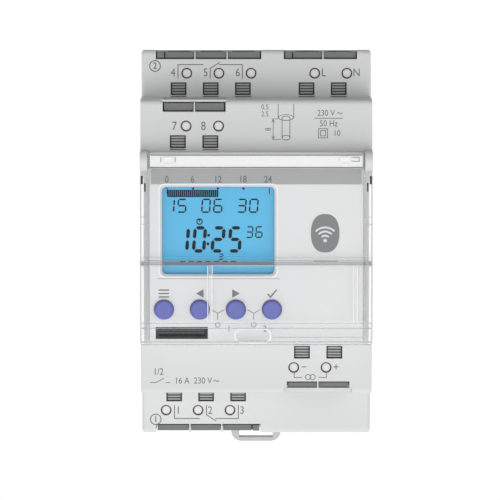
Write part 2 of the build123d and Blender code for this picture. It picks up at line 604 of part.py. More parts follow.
board_front = DISPLAY_BOARD_BACK - BOARD
with BuildPart() as backlight:
    across = (LCD_X[0] - 0.9, LCD_X[1] + 0.9)
    block(across, (glass_back + 0.05, board_front - 0.05), (LCD_Z[0] - 1, LCD_Z[1] + 1))
keep(backlight.part, "backlight")

with BuildPart() as zebra_strip:
    block((LCD_X[0], LCD_X[1]), (glass_back, board_front), (LCD_Z[0] - 2.9, LCD_Z[0] - 1.5))
keep(zebra_strip.part, "zebra_strip")

with BuildPart() as display_board:
    block((-PANEL_HALF + 1.8, PANEL_HALF - 1.8), (board_front, DISPLAY_BOARD_BACK), (-19.6, 19.6))
keep(display_board.part, "display_board")


# Buttons and the silicone mat under them
cap_back = board_front - 3.0
with BuildPart() as keypad_mat:
    left = BUTTON_FIRST - 1.4
    right = BUTTON_FIRST + 3 * BUTTON_PITCH + 2.6
    block((left, right), (board_front - 0.8, board_front), (BUTTON_Z - 2.6, BUTTON_Z + 2.6))
    for number in range(4):
        x = BUTTON_FIRST + number * BUTTON_PITCH
        with Locations(Plane(origin=(x, board_front - 0.8, BUTTON_Z), z_dir=(0, -1, 0))):
            Cone(1.3, 1.1, 2.15, align=(Align.CENTER, Align.CENTER, Align.MIN))
keep(keypad_mat.part, "keypad_mat")

for number in range(4):
    x = BUTTON_FIRST + number * BUTTON_PITCH
    with BuildPart() as button:
        rod(x, BUTTON_Z, BUTTON_RADIUS, (PANEL_FRONT - 1.1, PANEL_BACK + 0.8))
        fillet(button.edges().group_by(Axis.Y)[0], 0.5)
        # A square flange keeps the cap behind the panel
        reach = BUTTON_RADIUS + 0.6
        flange = (PANEL_BACK + 0.2, PANEL_BACK + 0.8)
        block((x - BUTTON_RADIUS, x + reach), flange, (BUTTON_Z - reach, BUTTON_Z + reach))
        rod(x, BUTTON_Z, 1.3, (PANEL_BACK + 0.8, cap_back))
    keep(button.part, f"button_{number + 1}")


# Card reader behind the slot in the panel
with BuildPart() as card_socket:
    across = (CARD_X[0] + 0.15, CARD_X[1] - 0.15)
    block(across, (PANEL_BACK + 0.3, NOSE_SEAT - SLIP), (CARD_Z[0] + 0.15, CARD_Z[1] - 0.15))
    block((CARD_X[0] + 0.3, CARD_X[1] - 0.3), (NOSE_SEAT - 0.2, board_front), (-19.7, CARD_Z[1] - 0.15))
    slot = (CARD_X[0] + 0.7, CARD_X[1] - 0.5)
    block(slot, (PANEL_BACK, NOSE_SEAT - 0.6), (CARD_Z[0] + 0.55, CARD_Z[1] - 0.55), Mode.SUBTRACT)
    for number in range(7):
        x = CARD_X[0] + 2 + number * 1.25
        block((x, x + 0.6), (PANEL_BACK + 1.4, NOSE_SEAT - 0.5), (CARD_Z[0] + 0.4, CARD_Z[0] + 0.8))
keep(card_socket.part, "card_socket")

with BuildPart() as microcontroller:
    block((-2, 8), (DISPLAY_BOARD_BACK, DISPLAY_BOARD_BACK + 1.4), (-5, 5))
keep(microcontroller.part, "microcontroller")

with BuildPart() as radio_module:
    block((8.0, 21.5), (board_front - 0.8, board_front), (-4, 12))
    block((8.6, 18.5), (board_front - 2.2, board_front - 0.8), (-3.4, 11.4))
keep(radio_module.part, "radio_module")


# Main board, held on the rear housing's posts, with a hole for each contact bar
board_back = MAIN_BOARD_FRONT + MAIN_BOARD
with BuildPart() as main_board:
    across = HALF_WIDTH - WALL - TONGUE_WALL - GAP
    tall = REAR_EDGE - WALL - TONGUE_WALL - GAP
    block((-across, across), (MAIN_BOARD_FRONT, board_back), (-tall, tall))
    for row in ROWS:
        turn = -1 if row.turned else 1
        for x in row.openers:
            with Locations((turn * x, (MAIN_BOARD_FRONT + board_back) / 2, turn * (row.edge - 11.75))):
                Box(2.0, MAIN_BOARD + 1, 1.1, mode=Mode.SUBTRACT)
keep(main_board.part, "main_board")

link_z = 17.6
with BuildPart() as link_board:
    block((2.5, 20), (DISPLAY_BOARD_BACK, MAIN_BOARD_FRONT), (link_z, link_z + BOARD))
    block((4, 18), (MAIN_BOARD_FRONT - 5, MAIN_BOARD_FRONT), (link_z - 2.0, link_z))
    block((4, 18), (DISPLAY_BOARD_BACK, DISPLAY_BOARD_BACK + 5), (link_z - 2.0, link_z))
keep(link_board.part, "link_board")

for number, left in enumerate((-23.5, -10.4), start=1):
    with BuildPart() as relay:
        high = -0.5
        deep = (MAIN_BOARD_FRONT - RELAY[1], MAIN_BOARD_FRONT)
        block((left, left + RELAY[0]), deep, (high - RELAY[2], high))
        fillet(relay.edges().filter_by(Axis.Y), 0.5)
        fillet(relay.edges().group_by(Axis.Y)[0], 0.4)
    keep(relay.part, f"relay_{number}")

with BuildPart() as mains_capacitor:
    block((4.5, 12.5), (MAIN_BOARD_FRONT - 14, MAIN_BOARD_FRONT), (-18.5, -0.5))
    fillet(mains_capacitor.edges().filter_by(Axis.Y), 0.5)
keep(mains_capacitor.part, "mains_capacitor")

with BuildPart() as buffer_capacitor:
    rod(18.4, -8, 5, (MAIN_BOARD_FRONT - 16, MAIN_BOARD_FRONT))
    fillet(buffer_capacitor.edges().group_by(Axis.Y)[0], 0.6)
keep(buffer_capacitor.part, "buffer_capacitor")

with BuildPart() as varistor:
    shaft(MAIN_BOARD_FRONT - 6.5, 10, 5, (6, 10))
    fillet(varistor.edges(), 1.2)
    for z in (7.5, 12.5):
        rod(8, z, 0.4, (MAIN_BOARD_FRONT - 5, MAIN_BOARD_FRONT))
keep(varistor.part, "varistor")

with BuildPart() as fuse_resistor:
    with Locations((15.5, MAIN_BOARD_FRONT - 3, 9)):
        Cylinder(2.2, 9)
    for z in (5.5, 12.5):
        rod(15.5, z, 0.4, (MAIN_BOARD_FRONT - 2, MAIN_BOARD_FRONT))
keep(fuse_resistor.part, "fuse_resistor")

battery_y = MAIN_BOARD_FRONT - BATTERY_RADIUS - 0.6
battery_z = 9.4
with BuildPart() as battery:
    shaft(battery_y, battery_z, BATTERY_RADIUS, (-22.5, -22.5 + BATTERY_LENGTH))
    fillet(battery.edges(), 0.5)
    shaft(battery_y, battery_z, 2.5, (-22.5 + BATTERY_LENGTH - 0.1, -21.6 + BATTERY_LENGTH))
keep(battery.part, "battery")

tabs = []
for x in (-23.1, -21.5 + BATTERY_LENGTH):
    with BuildPart() as tab:
        block((x, x + 0.5), (battery_y - 3, MAIN_BOARD_FRONT), (battery_z - 2.5, battery_z + 2.5))
    tabs.append(tab.part)
keep(Compound(children=tabs), "battery_tabs")
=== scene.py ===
import math

import bmesh
import bpy
from mathutils import Matrix, Vector


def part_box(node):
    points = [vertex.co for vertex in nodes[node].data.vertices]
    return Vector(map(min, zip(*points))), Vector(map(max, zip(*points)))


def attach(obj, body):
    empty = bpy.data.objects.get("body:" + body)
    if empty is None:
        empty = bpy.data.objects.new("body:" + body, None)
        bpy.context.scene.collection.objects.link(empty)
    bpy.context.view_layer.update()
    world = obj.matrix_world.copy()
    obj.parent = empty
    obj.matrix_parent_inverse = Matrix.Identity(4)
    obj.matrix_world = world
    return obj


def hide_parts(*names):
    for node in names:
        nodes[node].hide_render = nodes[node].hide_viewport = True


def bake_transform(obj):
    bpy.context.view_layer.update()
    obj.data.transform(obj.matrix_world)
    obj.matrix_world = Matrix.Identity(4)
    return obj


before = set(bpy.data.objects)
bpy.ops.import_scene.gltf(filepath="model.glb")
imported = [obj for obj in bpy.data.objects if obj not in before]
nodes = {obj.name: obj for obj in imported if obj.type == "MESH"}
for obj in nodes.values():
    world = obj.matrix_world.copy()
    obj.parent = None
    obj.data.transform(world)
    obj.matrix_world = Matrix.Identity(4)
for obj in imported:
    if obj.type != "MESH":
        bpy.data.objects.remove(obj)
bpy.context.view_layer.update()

# Rear and front housings: two shells of light grey polyamide, moulded with a fine spark-eroded grain.
# Sharp edges are softened a little, and catches in the sides snap the two together.
MM = 0.001
GRAIN = 0.35


def moulded(
    name, colour, roughness, grain=0.0, shift=0.03, round_edge=0.25, specular=0.4, crevice_shade=0.0
):
    """Moulded plastic: uneven colour, painted shade in crevices of this width, fine grain, softened edges.
    """
    material = bpy.data.materials.new(name)
    material.use_nodes = True
    tree = material.node_tree
    shader = tree.nodes["Principled BSDF"]
    shader.inputs["Specular IOR Level"].default_value = specular
    place = tree.nodes.new("ShaderNodeTexCoord")
    cloud = tree.nodes.new("ShaderNodeTexNoise")
    cloud.inputs["Scale"].default_value = 60
    cloud.inputs["Detail"].default_value = 4
    tree.links.new(place.outputs["Object"], cloud.inputs["Vector"])
    tint = tree.nodes.new("ShaderNodeMix")
    tint.data_type = "RGBA"
    tint.inputs["A"].default_value = (*[value * (1 - shift) for value in colour], 1)
    tint.inputs["B"].default_value = (*[min(1, value * (1 + shift)) for value in colour], 1)
    tree.links.new(cloud.outputs["Fac"], tint.inputs["Factor"])
    # Painted shade: an occlusion ramp darkens the colour in crevices of the given width.
    if crevice_shade:
        crevice_occlusion = tree.nodes.new("ShaderNodeAmbientOcclusion")
        crevice_occlusion.samples = 8
        crevice_occlusion.inputs["Distance"].default_value = crevice_shade * MM
        depth = tree.nodes.new("ShaderNodeMapRange")
        depth.inputs["From Min"].default_value = 0.4
        depth.inputs["From Max"].default_value = 0.9
        depth.inputs["To Min"].default_value = 0.12
        tree.links.new(crevice_occlusion.outputs["AO"], depth.inputs["Value"])
        shaded = tree.nodes.new("ShaderNodeMix")
        shaded.data_type = "RGBA"
        shaded.inputs["A"].default_value = (0, 0, 0, 1)
        tree.links.new(depth.outputs["Result"], shaded.inputs["Factor"])
        tree.links.new(tint.outputs["Result"], shaded.inputs["B"])
        tint = shaded
    tree.links.new(tint.outputs["Result"], shader.inputs["Base Color"])
    dull = tree.nodes.new("ShaderNodeMapRange")
    dull.inputs["To Min"].default_value = roughness - 0.05
    dull.inputs["To Max"].default_value = roughness + 0.05
    tree.links.new(cloud.outputs["Fac"], dull.inputs["Value"])
    tree.links.new(dull.outputs["Result"], shader.inputs["Roughness"])
    edge = tree.nodes.new("ShaderNodeBevel")
    edge.samples = 4
    edge.inputs["Radius"].default_value = round_edge * MM
    pits = tree.nodes.new("ShaderNodeTexNoise")
    pits.inputs["Scale"].default_value = 1 / (GRAIN * MM)
    pits.inputs["Detail"].default_value = 2
    tree.links.new(place.outputs["Object"], pits.inputs["Vector"])
    bump = tree.nodes.new("ShaderNodeBump")
    bump.inputs["Strength"].default_value = grain
    bump.inputs["Distance"].default_value = 0.02 * MM
    tree.links.new(pits.outputs["Fac"], bump.inputs["Height"])
    tree.links.new(edge.outputs["Normal"], bump.inputs["Normal"])
    tree.links.new(bump.outputs["Normal"], shader.inputs["Normal"])
    return material


def dress(material, *names):
    """Give CAD nodes this material."""
    for name in names:
        nodes[name].data.materials.clear()
        nodes[name].data.materials.append(material)


case_grey = moulded("case_grey", (0.65, 0.653, 0.657), 0.48, grain=0.35)
dress(case_grey, "front_housing", "base_housing")
half_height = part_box("front_housing")[1].z / MM


# Marks printed on the case: thin grey pad-printed lines, terminal numbers and plain symbols.
# They lie a few hundredths of a millimetre proud and follow the gentle curve of each tier.
TIER_EDGE = 34.1
NOSE_EDGE = 22.5
OUTER_FRONT = -34.0
INNER_FRONT = -46.0
PROUD = 0.03
LINE_STEP = 1.2
WELD = 0.001


def tier_depth(z):
    """The depth of the tier's face at this height, in mm."""
    height = abs(z)
    if height > TIER_EDGE:
        return OUTER_FRONT - ((half_height - height) / (half_height - TIER_EDGE)) ** 2
    return INNER_FRONT - ((TIER_EDGE - height) / (TIER_EDGE - NOSE_EDGE)) ** 2


def thicken(mesh, faces):
    """Turn flat faces into closed solids, PROUD thick, with their middle on y = 0."""
    grown = bmesh.ops.extrude_face_region(mesh, geom=faces)["geom"]
    back = [part for part in grown if isinstance(part, bmesh.types.BMVert)]
    bmesh.ops.translate(mesh, verts=back, vec=(0, PROUD / 2, 0))
    front = list({corner for face in faces for corner in face.verts})
    bmesh.ops.translate(mesh, verts=front, vec=(0, -PROUD / 2, 0))
    solid = list({face for corner in front + back for face in corner.link_faces})
    bmesh.ops.recalc_face_normals(mesh, faces=solid)


def plate(mesh, outline):
    """A thin raised patch with this outline of (x, z) points in mm."""
    thicken(mesh, [mesh.faces.new([mesh.verts.new((x, 0, z)) for x, z in outline])])


def stroke(mesh, points, width, closed=False):
    """A thin raised line with mitred corners through (x, z) points in mm."""
    if math.dist(points[0], points[-1]) < WELD:
        points, closed = points[:-1], True
    pairs = list(zip(points, points[1:])) + ([(points[-1], points[0])] if closed else [])
    path = []
    for start, end in pairs:
        run = Vector(end) - Vector(start)
        steps = max(1, round(run.length / LINE_STEP))
        path += [Vector(start) + run * step / steps for step in range(steps)]
    if not closed:
        path.append(Vector(points[-1]))
    rails = ([], [])
    for number, here in enumerate(path):
        comes = here - path[number - 1] if closed or number else path[1] - here
        goes = path[(number + 1) % len(path)] - here if closed or number < len(path) - 1 else comes
        comes, goes = comes.normalized(), goes.normalized()
        mitre = Vector((-comes.y - goes.y, comes.x + goes.x)).normalized()
        mitre *= width / 2 / max(0.5, mitre.dot(Vector((-comes.y, comes.x))))
        rails[0].append(mesh.verts.new((here.x + mitre.x, 0, here.y + mitre.y)))
        rails[1].append(mesh.verts.new((here.x - mitre.x, 0, here.y - mitre.y)))
    edges = []
    for rail in rails:
        following = rail[1:] + (rail[:1] if closed else [])
        edges += [mesh.edges.new(pair) for pair in zip(rail, following)]
    thicken(mesh, bmesh.ops.bridge_loops(mesh, edges=edges)["faces"])


def arc(centre, radius, start, end, steps=12, squeeze=1.0):
    """Points along an arc in degrees, squeezed across where it is an ellipse."""
    angles = [math.radians(start + (end - start) * step / steps) for step in range(steps + 1)]
    return [(centre[0] + radius * squeeze * math.cos(a), centre[1] + radius * math.sin(a)) for a in angles]


def lettering(mesh, text, x, z, height, narrow=0.85, turn=0.0, weight=0.0):
    """Upright letters centred on (x, z) in mm, lying on y = 0."""
    curve = bpy.data.curves.new("letters", "FONT")
    curve.body = text
    curve.size = height * 1.4
    curve.align_x = "CENTER"
    curve.align_y = "CENTER"
    curve.resolution_u = 3
    curve.extrude = PROUD / 2
    curve.offset = weight
    letters = bpy.data.objects.new("letters", curve)
    bpy.context.scene.collection.objects.link(letters)
    bpy.context.view_layer.update()
    flat = bpy.data.meshes.new_from_object(letters.evaluated_get(bpy.context.evaluated_depsgraph_get()))
    spin = Matrix.Rotation(math.radians(turn), 4, "Y")
    stand = Matrix.Rotation(math.radians(90), 4, "X") @ Matrix.Diagonal((narrow, 1, 1, 1))
    flat.transform(Matrix.Translation((x, 0, z)) @ spin @ stand)
    raised = bmesh.new()
    raised.from_mesh(flat)
    bmesh.ops.remove_doubles(raised, verts=raised.verts, dist=WELD)
    bmesh.ops.recalc_face_normals(raised, faces=raised.faces)
    raised.to_mesh(flat)
    raised.free()
    mesh.from_mesh(flat)
    bpy.data.objects.remove(letters)
    bpy.data.curves.remove(curve)
    bpy.data.meshes.remove(flat)


def piece(name, mesh, material, body, depth=None):
    """Turn a mesh drawn in mm into a finished piece on a body; depth lays it on a surface."""
    for corner in mesh.verts:
        if depth is not None:
            corner.co.y += depth(corner.co.z)
        corner.co *= MM
    data = bpy.data.meshes.new(name)
    mesh.to_mesh(data)
    mesh.free()
    data.materials.append(material)
    thing = bpy.data.objects.new(name, data)
    bpy.context.scene.collection.objects.link(thing)
    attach(thing, body)
    return thing


LINE = 0.2
ink = moulded("grey_ink", (0.13, 0.13, 0.135), 0.6, shift=0.1, round_edge=0.01)
marks = bmesh.new()
# The changeover contacts beside the outer terminals: two fixed arms and the moving one
for turn in (1, -1):
    shift = 0.0 if turn == 1 else 0.95
    top = 41.6 * turn
    foot = 38.4 * turn
    tip = 42.2 * turn
    pivot = 40.7 * turn
    left = -18.24 - shift
    stroke(marks, [(left, foot), (left, top), (left + 5.9, top)], LINE)
    stroke(marks, [(left + 7.5, foot), (left + 7.5, pivot), (left + 9.8, tip)], LINE)
    stroke(marks, [(left + 9.6, top), (left + 15.0, top), (left + 15.0, foot)], LINE)
NUMBER_HEIGHT = 39.7
for number, x in ((4, -19.4), (5, -11.8), (6, -4.3)):
    lettering(marks, str(number), x, NUMBER_HEIGHT, 1.9)
for number, x in ((1, -18.3), (2, -10.8), (3, -3.3)):
    lettering(marks, str(number), x, -NUMBER_HEIGHT, 1.9)
lettering(marks, "L", 15.7, NUMBER_HEIGHT, 1.9)
lettering(marks, "N", 23.4, NUMBER_HEIGHT, 1.9)
lettering(marks, "7", -18.9, 28.0, 2.0)
lettering(marks, "8", -12.2, 28.0, 2.0)
# The two channels, each a ring round its number
for number, x, z in ((2, -23.6, 41.3), (1, -23.6, -41.8)):
    stroke(marks, arc((x, z), 1.25, 0, 360, 20), LINE * 1.1)
    lettering(marks, str(number), x, z, 1.5, weight=0.03)
# A wire with its end stripped, and how long the bare end is
sleeve_end = arc((6.85, 30.1), 0.75, 180, 360, 8, 2.4)
stroke(marks, [(5.05, 33.1), (5.05, 30.1)] + sleeve_end + [(8.65, 33.1)], LINE * 0.8)
stroke(marks, arc((6.85, 30.0), 0.7, 0, 180, 8, 2.5), LINE * 0.6)
bare_end = arc((6.85, 25.4), 0.55, 180, 360, 8, 1.64)
stroke(marks, [(5.95, 29.9), (5.95, 25.4)] + bare_end + [(7.75, 29.9)], LINE * 0.8)
stroke(marks, arc((6.85, 25.4), 0.55, 0, 180, 8, 1.64), LINE * 0.8)
stroke(marks, arc((6.85, 29.9), 0.45, 0, 180, 8, 2.0), LINE * 0.8)
stroke(marks, [(3.6, 29.7), (5.1, 29.7)], LINE * 0.6)
stroke(marks, [(3.6, 25.0), (5.7, 25.0)], LINE * 0.6)
stroke(marks, [(3.9, 29.6), (3.9, 25.1)], LINE * 0.7)
stroke(marks, [(3.55, 28.9), (3.9, 29.6), (4.25, 28.9)], LINE * 0.7)
stroke(marks, [(3.55, 25.8), (3.9, 25.1), (4.25, 25.8)], LINE * 0.7)
lettering(marks, "8", 2.8, 27.3, 1.3, turn=-90)
lettering(marks, "0.5", 2.0, 32.4, 1.2)
lettering(marks, "2.5", 2.0, 30.8, 1.2)
# The supply: volts over cycles, and the double square of double insulation
lettering(marks, "230 V", 16.1, 31.0, 1.45)
stroke(marks, [(18.6, 30.9), (19.0, 31.2), (19.5, 30.8), (19.9, 31.1)], LINE * 0.8)
stroke(marks, [(13.4, 29.85), (20.0, 29.85)], LINE * 0.8)
lettering(marks, "50 Hz", 16.7, 28.6, 1.45)
SQUARE_X = 15.4
SQUARE_Z = 26.4
for half in (1.05, 0.6):
    left, right = SQUARE_X - half, SQUARE_X + half
    low, high = SQUARE_Z - half, SQUARE_Z + half
    stroke(marks, [(left, low), (left, high), (right, high), (right, low)], LINE * 0.8, closed=True)
lettering(marks, "10", 18.6, SQUARE_Z, 1.4)
# The contact's rating on the lower tier
lettering(marks, "1/2", -22.7, -29.1, 1.6)
stroke(marks, [(-24.6, -31.6), (-23.3, -31.6), (-21.4, -30.6)], LINE * 0.8)
stroke(marks, [(-21.0, -31.6), (-20.0, -31.6)], LINE * 0.8)
lettering(marks, "16 A  230 V", -14.6, -31.2, 1.5)
stroke(marks, [(-9.9, -31.3), (-9.5, -31.0), (-9.0, -31.4), (-8.6, -31.1)], LINE * 0.8)
# The bus terminals: minus and plus, joined by a bracket round two linked rings
stroke(marks, [(10.5, -27.9), (11.6, -27.9)], LINE)
stroke(marks, [(17.9, -27.9), (19.1, -27.9)], LINE)
stroke(marks, [(18.5, -27.3), (18.5, -28.5)], LINE)
stroke(marks, [(8.8, -29.3), (8.8, -30.4), (10.7, -30.4)], LINE * 0.8)
stroke(marks, [(16.3, -29.3), (16.3, -30.4), (14.4, -30.4)], LINE * 0.8)
stroke(marks, arc((12.0, -30.3), 0.6, 0, 360, 16), LINE * 0.8)
stroke(marks, arc((13.1, -30.3), 0.6, 0, 360, 16), LINE * 0.8)
piece("case_print", marks, ink, "case", tier_depth)


# Terminals: each row has a dark insert whose funnels guide the wires, ribbed openers that a screwdriver
# pushes in, tinned contact bars with rounded test studs, and bent clamp springs of stainless strip.
insert_dark = moulded("insert_dark", (0.165, 0.167, 0.17), 0.5, grain=0.2, round_edge=0.12)
# The openers' grooves and frames, and the rings round the test studs, carry painted shade.
opener_dark = moulded("opener_dark", (0.36, 0.37, 0.366), 0.36, round_edge=0.08, crevice_shade=0.5)
stud_ivory = moulded("stud_ivory", (0.71, 0.697, 0.675), 0.3, shift=0.02, round_edge=0.3, crevice_shade=0.35)


def metal(name, colour, roughness, brushed=0.2):
    """Bright strip or wire, with a faint drawn grain."""
    material = bpy.data.materials.new(name)
    material.use_nodes = True
    tree = material.node_tree
    shader = tree.nodes["Principled BSDF"]
    shader.inputs["Metallic"].default_value = 1
    place = tree.nodes.new("ShaderNodeTexCoord")
    draw = tree.nodes.new("ShaderNodeMapping")
    draw.inputs["Scale"].default_value = (3000, 200, 3000)
    grain = tree.nodes.new("ShaderNodeTexNoise")
    grain.inputs["Scale"].default_value = 1
    tree.links.new(place.outputs["Object"], draw.inputs["Vector"])
    tree.links.new(draw.outputs["Vector"], grain.inputs["Vector"])
    tint = tree.nodes.new("ShaderNodeMix")
    tint.data_type = "RGBA"
    tint.inputs["A"].default_value = (*[value * 0.9 for value in colour], 1)
    tint.inputs["B"].default_value = (*colour, 1)
    tree.links.new(grain.outputs["Fac"], tint.inputs["Factor"])
    tree.links.new(tint.outputs["Result"], shader.inputs["Base Color"])
    dull = tree.nodes.new("ShaderNodeMapRange")
    dull.inputs["To Min"].default_value = roughness * (1 - brushed)
    dull.inputs["To Max"].default_value = roughness * (1 + brushed)
    tree.links.new(grain.outputs["Fac"], dull.inputs["Value"])
    tree.links.new(dull.outputs["Result"], shader.inputs["Roughness"])
    return material


spring_steel = metal("spring_steel", (0.62, 0.62, 0.63), 0.28)
for name in nodes:
    if name.startswith("insert_"):
        dress(insert_dark, name)
    if name.startswith("opener_"):
        dress(opener_dark, name)
    if name.startswith("contacts_"):
        dress(stud_ivory, name)
    if name.startswith("clamp_springs_"):
        dress(spring_steel, name)


# Front panel: the opaque cap of the nose, smoother and a shade lighter than the case.
# Its print is the hour scale over the display, the buttons' symbols and a grey radio badge.
panel_grey = moulded("panel_grey", (0.735, 0.738, 0.742), 0.4, grain=0.12)
dress(panel_grey, "front_panel")
panel_low, panel_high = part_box("front_panel")
panel_front = panel_low.y / MM
HEADER_FOOT = 14.9
HEADER_FALL = 1.6 / 3.6
CHIN_TOP = -16.5
CHIN_FALL = 1.4 / 5.7


def panel_depth(z):
    """The depth of the panel's face at this height, in mm, with its slopes above and below."""
    if z > HEADER_FOOT:
        return panel_front + (z - HEADER_FOOT) * HEADER_FALL
    if z < CHIN_TOP:
        return panel_front + (CHIN_TOP - z) * CHIN_FALL
    return panel_front


def print_depth(z):
    """The depth of the panel's print, which lies over the band on the upper slope."""
    return panel_depth(z) - PROUD * (1.2 if z > HEADER_FOOT else 0)


# A darker grey band on the slope over the display is painted shade, for the slope that faces up, and the
# hour scale is printed on it
header = bmesh.new()
bar = bmesh.ops.create_cube(header, size=1)
band_low, band_high = 14.95, 18.45
band_half = panel_high.x / MM - 0.35
bmesh.ops.transform(
    header,
    matrix=Matrix.Translation((0, 0, (band_low + band_high) / 2))
    @ Matrix.Diagonal((2 * band_half, PROUD, band_high - band_low, 1)),
    verts=bar["verts"],
)
corners = [edge for edge in header.edges if abs(edge.verts[0].co.x) > 1]
ends = [edge for edge in corners if abs(edge.calc_length() - PROUD) < 1e-6]
bmesh.ops.bevel(header, geom=ends, offset=0.5, segments=3, profile=0.5, affect="EDGES", material=-1)
header_painted_shade = moulded("header_painted_shade", (0.48, 0.482, 0.486), 0.38, grain=0.08, shift=0.02, round_edge=0.01)
piece("panel_slope_painted_shade", header, header_painted_shade, "case", lambda z: panel_depth(z) - PROUD / 2)

marks = bmesh.new()
# The hours of one day, over the display's bar
for hour, x in ((0, -20.6), (6, -14.7), (12, -8.85), (18, -3.1), (24, 2.7)):
    lettering(marks, str(hour), x, 16.0, 1.55, weight=0.03)
# Menu bars, left and right arrows, and a tick
for z in (-9.5, -10.3, -11.1):
    stroke(marks, [(-22.5, z), (-20.1, z)], 0.32)
for x, turn in ((-13.0, 1), (-4.7, -1)):
    plate(marks, [(x - 0.9 * turn, -10.3), (x + 0.85 * turn, -9.3), (x + 0.85 * turn, -11.3)])
stroke(marks, [(2.6, -10.4), (3.3, -11.1), (4.7, -9.4)], 0.34)
for x in (-8.9, -0.6):
    stroke(marks, [(x - 1.35, -14.1), (x, -14.9), (x + 1.35, -14.1)], LINE * 0.8)
    stroke(marks, [(x, -14.9), (x, -16.4)], LINE * 0.8)
# Beneath: one small lamp for each channel, and the mark at the card slot
for number, x in ((1, -8.9), (2, -0.6)):
    stroke(marks, arc((x, -17.6), 0.55, 0, 360, 14), LINE * 0.8)
    lettering(marks, str(number), x + 2.6, -18.6, 1.5)
panel_ink = moulded("panel_ink", (0.19, 0.19, 0.195), 0.6, shift=0.1, round_edge=0.01)
piece("panel_print", marks, panel_ink, "case", print_depth)

# The grey badge is a softened oblong, with a plain sign of waves from one point
badge = bmesh.new()
outline = []
BADGE = (15.85, 3.65)
BADGE_HALF_WIDTH = 3.3
BADGE_HALF_HEIGHT = 4.45
WAVES_FROM = (BADGE[0], BADGE[1] - 1.7)
for angle in range(0, 360, 10):
    side = math.radians(angle)
    across = BADGE_HALF_WIDTH * math.copysign(abs(math.cos(side)) ** 0.8, math.cos(side))
    up = BADGE_HALF_HEIGHT * math.copysign(abs(math.sin(side)) ** 0.9, math.sin(side))
    outline.append((BADGE[0] + across, BADGE[1] + up))
plate(badge, outline)
badge_grey = moulded("badge_grey", (0.20, 0.205, 0.21), 0.5, shift=0.03, round_edge=0.01)
piece("badge", badge, badge_grey, "case", lambda z: panel_front - PROUD / 2)
waves = bmesh.new()
for radius in (1.15, 2.1, 3.05):
    stroke(waves, arc(WAVES_FROM, radius, 45, 135, 10), 0.42)
stroke(waves, arc(WAVES_FROM, 0.22, 0, 360, 10), 0.4)
badge_white = moulded("badge_white", (0.72, 0.73, 0.74), 0.5, shift=0.01, round_edge=0.01)
piece("badge_waves", waves, badge_white, "case", lambda z: panel_front - 1.5 * PROUD)


# Display: a clear lens set in the panel, over a blue glass cell lit from behind. The segments that are on
# lie on the cell's front face, and a pale rim, a painted highlight, frames the opening.
def clear(name, colour, haze, edge_haze, roughness, rim=0.0, edge_glint_width=0.4, specular=0.3):
    """Clear plastic, with more body where it is seen edge on, and, through rim, a painted highlight along
    its corners.
    """
    material = bpy.data.materials.new(name)
    material.use_nodes = True
    tree = material.node_tree
    shader = tree.nodes["Principled BSDF"]
    shader.inputs["Base Color"].default_value = (*colour, 1)
    shader.inputs["Roughness"].default_value = roughness
    shader.inputs["Specular IOR Level"].default_value = specular
    facing = tree.nodes.new("ShaderNodeLayerWeight")
    facing.inputs["Blend"].default_value = 0.35
    body = tree.nodes.new("ShaderNodeMapRange")
    body.inputs["From Min"].default_value = 0.15
    body.inputs["To Min"].default_value = haze
    body.inputs["To Max"].default_value = edge_haze
    tree.links.new(facing.outputs["Facing"], body.inputs["Value"])
    if not rim:
        tree.links.new(body.outputs["Result"], shader.inputs["Alpha"])
        return material
    # A rounded normal parts from the true one only along a corner; there the plastic is made more opaque, a
    # painted highlight for the light that clear edges bend and reflect.
    rounded = tree.nodes.new("ShaderNodeBevel")
    rounded.samples = 8
    rounded.inputs["Radius"].default_value = edge_glint_width * MM
    true = tree.nodes.new("ShaderNodeNewGeometry")
    match = tree.nodes.new("ShaderNodeVectorMath")
    match.operation = "DOT_PRODUCT"
    tree.links.new(rounded.outputs["Normal"], match.inputs[0])
    tree.links.new(true.outputs["True Normal"], match.inputs[1])
    corner = tree.nodes.new("ShaderNodeMapRange")
    corner.inputs["From Min"].default_value = 0.995
    corner.inputs["From Max"].default_value = 0.85
    corner.inputs["To Max"].default_value = rim
    tree.links.new(match.outputs["Value"], corner.inputs["Value"])
    whole = tree.nodes.new("ShaderNodeMath")
    whole.operation = "ADD"
    whole.use_clamp = True
    tree.links.new(body.outputs["Result"], whole.inputs[0])
    tree.links.new(corner.outputs["Result"], whole.inputs[1])
    tree.links.new(whole.outputs["Value"], shader.inputs["Alpha"])
    return material


dress(clear("lens_clear", (0.9, 0.93, 0.95), 0.005, 0.2, 0.05, specular=0.04), "lcd_lens")
glow = bpy.data.materials.new("lcd_blue")
glow.use_nodes = True
tree = glow.node_tree
shader = tree.nodes["Principled BSDF"]
shader.inputs["Roughness"].default_value = 0.25
place = tree.nodes.new("ShaderNodeTexCoord")
cloud = tree.nodes.new("ShaderNodeTexNoise")
cloud.inputs["Scale"].default_value = 70
tree.links.new(place.outputs["Object"], cloud.inputs["Vector"])
tint = tree.nodes.new("ShaderNodeMix")
tint.data_type = "RGBA"
tint.inputs["A"].default_value = (0.026, 0.35, 0.60, 1)
tint.inputs["B"].default_value = (0.036, 0.385, 0.65, 1)
tree.links.new(cloud.outputs["Fac"], tint.inputs["Factor"])
tree.links.new(tint.outputs["Result"], shader.inputs["Base Color"])
tree.links.new(tint.outputs["Result"], shader.inputs["Emission Color"])
shader.inputs["Emission Strength"].default_value = 0.32
dress(glow, "lcd_glass")
cell_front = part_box("lcd_glass")[0].y / MM

SEGMENTS = {
    "0": "abcdef", "1": "bc", "2": "abged", "3": "abgcd", "4": "fgbc",
    "5": "afgcd", "6": "afgedc", "7": "abc", "8": "abcdefg", "9": "abcdfg",
}


